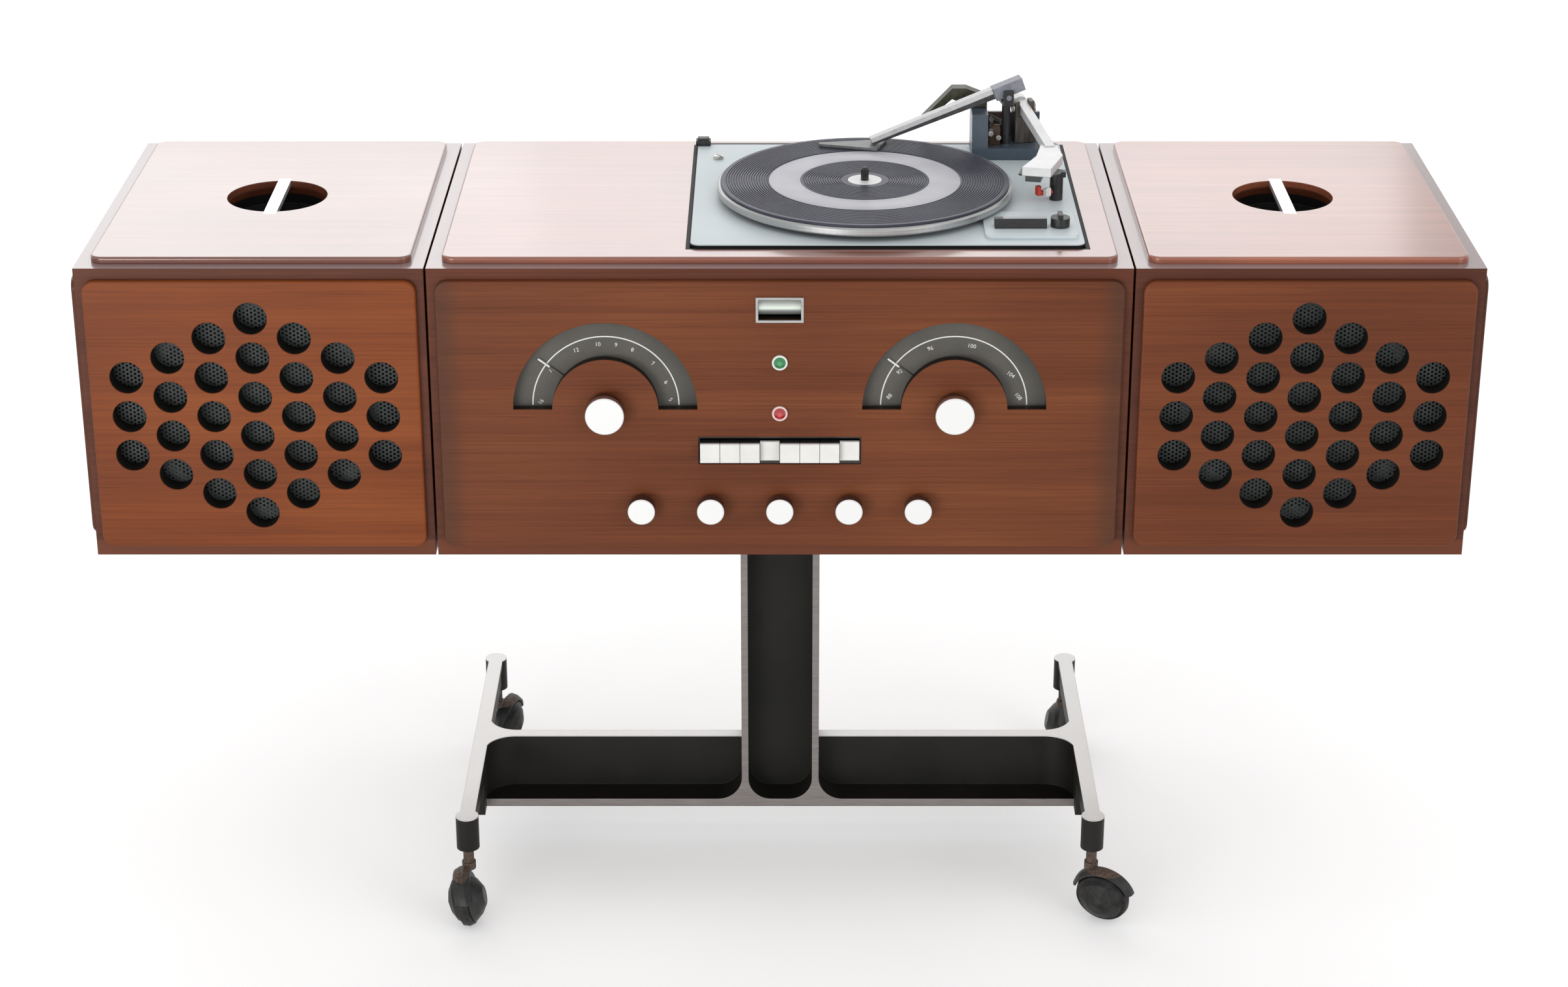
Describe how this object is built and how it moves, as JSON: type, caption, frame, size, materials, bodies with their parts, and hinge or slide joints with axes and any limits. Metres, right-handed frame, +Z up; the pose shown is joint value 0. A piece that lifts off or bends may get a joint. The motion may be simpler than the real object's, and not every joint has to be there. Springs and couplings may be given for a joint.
{
  "type": "radiogram",
  "caption": "Wooden stereo radiogram on a cast wheeled stand: middle cabinet with twin dials, knobs, keys and a record changer, flanked by two pierced loudspeaker cubes.",
  "frame": {"origin": "on the floor under the middle of the cabinet", "axes": "+X to the right seen from the front, +Y to the back, +Z up"},
  "size_m": [1.23, 0.4206, 0.7354],
  "materials": {
    "walnut_case": "gloss varnish",
    "walnut_front": "satin varnish",
    "hardboard": "matt",
    "chassis_steel": "plated",
    "grille_metal": "dark perforated sheet",
    "bar_metal": "polished",
    "black_moulding": "satin black",
    "driver_steel": "black enamel",
    "dial_grey": "dark grey print",
    "pointer_white": "white",
    "knob_metal": "turned, satin face",
    "bezel_metal": "satin",
    "indicator_glass": "clear tube",
    "lamp_glass": "coloured lens",
    "key_ivory": "off-white",
    "deck_enamel": "pale blue-grey enamel",
    "platter_metal": "turned",
    "mat_rubber": "ribbed",
    "mechanism_paint": "slate enamel",
    "arm_white": "white",
    "feeler_olive": "dark olive enamel",
    "stand_iron": "black paint, polished edges",
    "caster_black": "black",
    "tread_rubber": "black"
  },
  "bodies": {
    "cabinet": {"main_shell": "walnut_case", "main_top_panel": "walnut_case", "speaker_left_shell": "walnut_case", "speaker_left_top_panel": "walnut_case", "speaker_right_shell": "walnut_case", "speaker_right_top_panel": "walnut_case", "main_front_panel": "walnut_front", "speaker_left_baffle": "walnut_front", "speaker_right_baffle": "walnut_front", "main_back_cover": "hardboard", "amplifier_chassis": "chassis_steel", "turntable_motor": "chassis_steel", "speaker_grilles": "grille_metal", "speaker_handle_bars": "bar_metal", "record_spindle": "black_moulding", "speaker_handle_cups": "black_moulding", "key_frame": "black_moulding", "arm_rest": "black_moulding", "speaker_drivers": "driver_steel", "dial_plates": "dial_grey", "indicator_bezel": "bezel_metal", "indicator_tube": "indicator_glass", "pilot_lamps": "lamp_glass", "deck_plate": "deck_enamel", "control_plate": "deck_enamel", "changer_tower": "mechanism_paint", "stand_casting": "stand_iron"},
    "turntable": {"platter": "platter_metal", "platter_mat": "mat_rubber"},
    "dial_pointer_left": {"dial_pointer_left": "pointer_white"},
    "dial_pointer_right": {"dial_pointer_right": "pointer_white"},
    "tuning_knob_left": {"tuning_knob_left": "knob_metal"},
    "tuning_knob_right": {"tuning_knob_right": "knob_metal"},
    "tonearm_gimbal": {"tonearm_gimbal": "mechanism_paint"},
    "tonearm": {"tonearm": "arm_white"},
    "clamp_arm": {"clamp_arm": "arm_white"},
    "feeler_arm": {"feeler_arm": "feeler_olive"},
    "start_lever": {"start_lever": "black_moulding"},
    "speed_knob": {"speed_knob": "black_moulding"},
    "key_1": {"key_1": "key_ivory"},
    "key_2": {"key_2": "key_ivory"},
    "key_3": {"key_3": "key_ivory"},
    "key_4": {"key_4": "key_ivory"},
    "key_5": {"key_5": "key_ivory"},
    "key_6": {"key_6": "key_ivory"},
    "key_7": {"key_7": "key_ivory"},
    "key_8": {"key_8": "key_ivory"},
    "control_knob_1": {"control_knob_1": "knob_metal"},
    "control_knob_2": {"control_knob_2": "knob_metal"},
    "control_knob_3": {"control_knob_3": "knob_metal"},
    "control_knob_4": {"control_knob_4": "knob_metal"},
    "control_knob_5": {"control_knob_5": "knob_metal"},
    "caster_front_left": {"caster_front_left": "caster_black"},
    "caster_front_right": {"caster_front_right": "caster_black"},
    "caster_rear_left": {"caster_rear_left": "caster_black"},
    "caster_rear_right": {"caster_rear_right": "caster_black"},
    "wheel_front_left": {"wheel_front_left": "tread_rubber"},
    "wheel_front_right": {"wheel_front_right": "tread_rubber"},
    "wheel_rear_left": {"wheel_rear_left": "tread_rubber"},
    "wheel_rear_right": {"wheel_rear_right": "tread_rubber"}
  },
  "joints": [
    {"name": "platter_spin", "type": "hinge", "parent": "cabinet", "child": "turntable", "pos_m": [0.077, -0.006, 0.6635], "axis": [0, 0, 1], "continuous": true},
    {"name": "tuning_knob_left_turn", "type": "hinge", "parent": "cabinet", "child": "tuning_knob_left", "pos_m": [-0.1525, -0.189, 0.5217], "axis": [0, -1, 0], "range_deg": [-276, 64]},
    {"name": "dial_pointer_left_sweep", "type": "hinge", "parent": "cabinet", "child": "dial_pointer_left", "pos_m": [-0.1525, -0.175, 0.5217], "axis": [0, -1, 0], "range_deg": [-138, 32]},
    {"name": "tuning_knob_right_turn", "type": "hinge", "parent": "cabinet", "child": "tuning_knob_right", "pos_m": [0.1525, -0.189, 0.5217], "axis": [0, -1, 0], "range_deg": [-276, 64]},
    {"name": "dial_pointer_right_sweep", "type": "hinge", "parent": "cabinet", "child": "dial_pointer_right", "pos_m": [0.1525, -0.175, 0.5217], "axis": [0, -1, 0], "range_deg": [-138, 32]},
    {"name": "key_1_push", "type": "slide", "parent": "cabinet", "child": "key_1", "axis": [0, 1, 0], "range_m": [0, 0.006], "stiffness_N_per_m": 300, "springref_m": -0.003},
    {"name": "key_2_push", "type": "slide", "parent": "cabinet", "child": "key_2", "axis": [0, 1, 0], "range_m": [0, 0.006], "stiffness_N_per_m": 300, "springref_m": -0.003},
    {"name": "key_3_push", "type": "slide", "parent": "cabinet", "child": "key_3", "axis": [0, 1, 0], "range_m": [0, 0.006], "stiffness_N_per_m": 300, "springref_m": -0.003},
    {"name": "key_4_push", "type": "slide", "parent": "cabinet", "child": "key_4", "axis": [0, 1, 0], "range_m": [-0.006, 0]},
    {"name": "key_5_push", "type": "slide", "parent": "cabinet", "child": "key_5", "axis": [0, 1, 0], "range_m": [0, 0.006], "stiffness_N_per_m": 300, "springref_m": -0.003},
    {"name": "key_6_push", "type": "slide", "parent": "cabinet", "child": "key_6", "axis": [0, 1, 0], "range_m": [0, 0.006], "stiffness_N_per_m": 300, "springref_m": -0.003},
    {"name": "key_7_push", "type": "slide", "parent": "cabinet", "child": "key_7", "axis": [0, 1, 0], "range_m": [0, 0.006], "stiffness_N_per_m": 300, "springref_m": -0.003},
    {"name": "key_8_push", "type": "slide", "parent": "cabinet", "child": "key_8", "axis": [0, 1, 0], "range_m": [-0.006, 0]},
    {"name": "control_knob_1_turn", "type": "hinge", "parent": "cabinet", "child": "control_knob_1", "pos_m": [-0.122, -0.189, 0.4305], "axis": [0, -1, 0], "range_deg": [-140, 140]},
    {"name": "control_knob_2_turn", "type": "hinge", "parent": "cabinet", "child": "control_knob_2", "pos_m": [-0.061, -0.189, 0.4305], "axis": [0, -1, 0], "range_deg": [-140, 140]},
    {"name": "control_knob_3_turn", "type": "hinge", "parent": "cabinet", "child": "control_knob_3", "pos_m": [0, -0.189, 0.4305], "axis": [0, -1, 0], "range_deg": [-140, 140]},
    {"name": "control_knob_4_turn", "type": "hinge", "parent": "cabinet", "child": "control_knob_4", "pos_m": [0.061, -0.189, 0.4305], "axis": [0, -1, 0], "range_deg": [-140, 140]},
    {"name": "control_knob_5_turn", "type": "hinge", "parent": "cabinet", "child": "control_knob_5", "pos_m": [0.122, -0.189, 0.4305], "axis": [0, -1, 0], "range_deg": [-140, 140]},
    {"name": "tonearm_swing", "type": "hinge", "parent": "cabinet", "child": "tonearm_gimbal", "pos_m": [0.229, 0.124, 0.67], "axis": [0, 0, -1], "range_deg": [0, 42]},
    {"name": "tonearm_lift", "type": "hinge", "parent": "tonearm_gimbal", "child": "tonearm", "pos_m": [0.229, 0.124, 0.7029], "axis": [-0.9823, -0.1874, 0], "range_deg": [0, 12]},
    {"name": "clamp_arm_lift", "type": "hinge", "parent": "cabinet", "child": "clamp_arm", "pos_m": [0.212, 0.114, 0.718], "axis": [-0.165, 0.9863, 0], "range_deg": [0, 40]},
    {"name": "feeler_arm_swing", "type": "hinge", "parent": "cabinet", "child": "feeler_arm", "pos_m": [0.188, 0.136, 0.701], "axis": [0, 0, 1], "range_deg": [-30, 0]},
    {"name": "start_lever_slide", "type": "slide", "parent": "cabinet", "child": "start_lever", "axis": [1, 0, 0], "range_m": [-0.006, 0.003]},
    {"name": "speed_knob_turn", "type": "hinge", "parent": "cabinet", "child": "speed_knob", "pos_m": [0.247, -0.104, 0.662], "axis": [0, 0, 1], "range_deg": [-60, 60]},
    {"name": "caster_front_left_swivel", "type": "hinge", "parent": "cabinet", "child": "caster_front_left", "pos_m": [-0.2915, -0.1665, 0.073], "axis": [0, 0, 1], "continuous": true},
    {"name": "wheel_front_left_roll", "type": "hinge", "parent": "caster_front_left", "child": "wheel_front_left", "pos_m": [-0.2945, -0.1805, 0.02543], "axis": [-0.9781, 0, -0.2079], "continuous": true},
    {"name": "caster_front_right_swivel", "type": "hinge", "parent": "cabinet", "child": "caster_front_right", "pos_m": [0.2915, -0.1665, 0.073], "axis": [0, 0, 1], "continuous": true},
    {"name": "wheel_front_right_roll", "type": "hinge", "parent": "caster_front_right", "child": "wheel_front_right", "pos_m": [0.30277, -0.17533, 0.02543], "axis": [-0.4288, -0.8792, -0.2079], "continuous": true},
    {"name": "caster_rear_left_swivel", "type": "hinge", "parent": "cabinet", "child": "caster_rear_left", "pos_m": [-0.2915, 0.1665, 0.073], "axis": [0, 0, 1], "continuous": true},
    {"name": "wheel_rear_left_roll", "type": "hinge", "parent": "caster_rear_left", "child": "wheel_rear_left", "pos_m": [-0.28389, 0.17863, 0.02543], "axis": [0.9192, -0.3345, -0.2079], "continuous": true},
    {"name": "caster_rear_right_swivel", "type": "hinge", "parent": "cabinet", "child": "caster_rear_right", "pos_m": [0.2915, 0.1665, 0.073], "axis": [0, 0, 1], "continuous": true},
    {"name": "wheel_rear_right_roll", "type": "hinge", "parent": "caster_rear_right", "child": "wheel_rear_right", "pos_m": [0.2945, 0.1805, 0.02543], "axis": [0.9781, 0, -0.2079], "continuous": true}
  ],
  "couplings": [
    {"joint": "dial_pointer_left_sweep", "follows": "tuning_knob_left_turn", "ratio": 0.5},
    {"joint": "dial_pointer_right_sweep", "follows": "tuning_knob_right_turn", "ratio": 0.5}
  ]
}
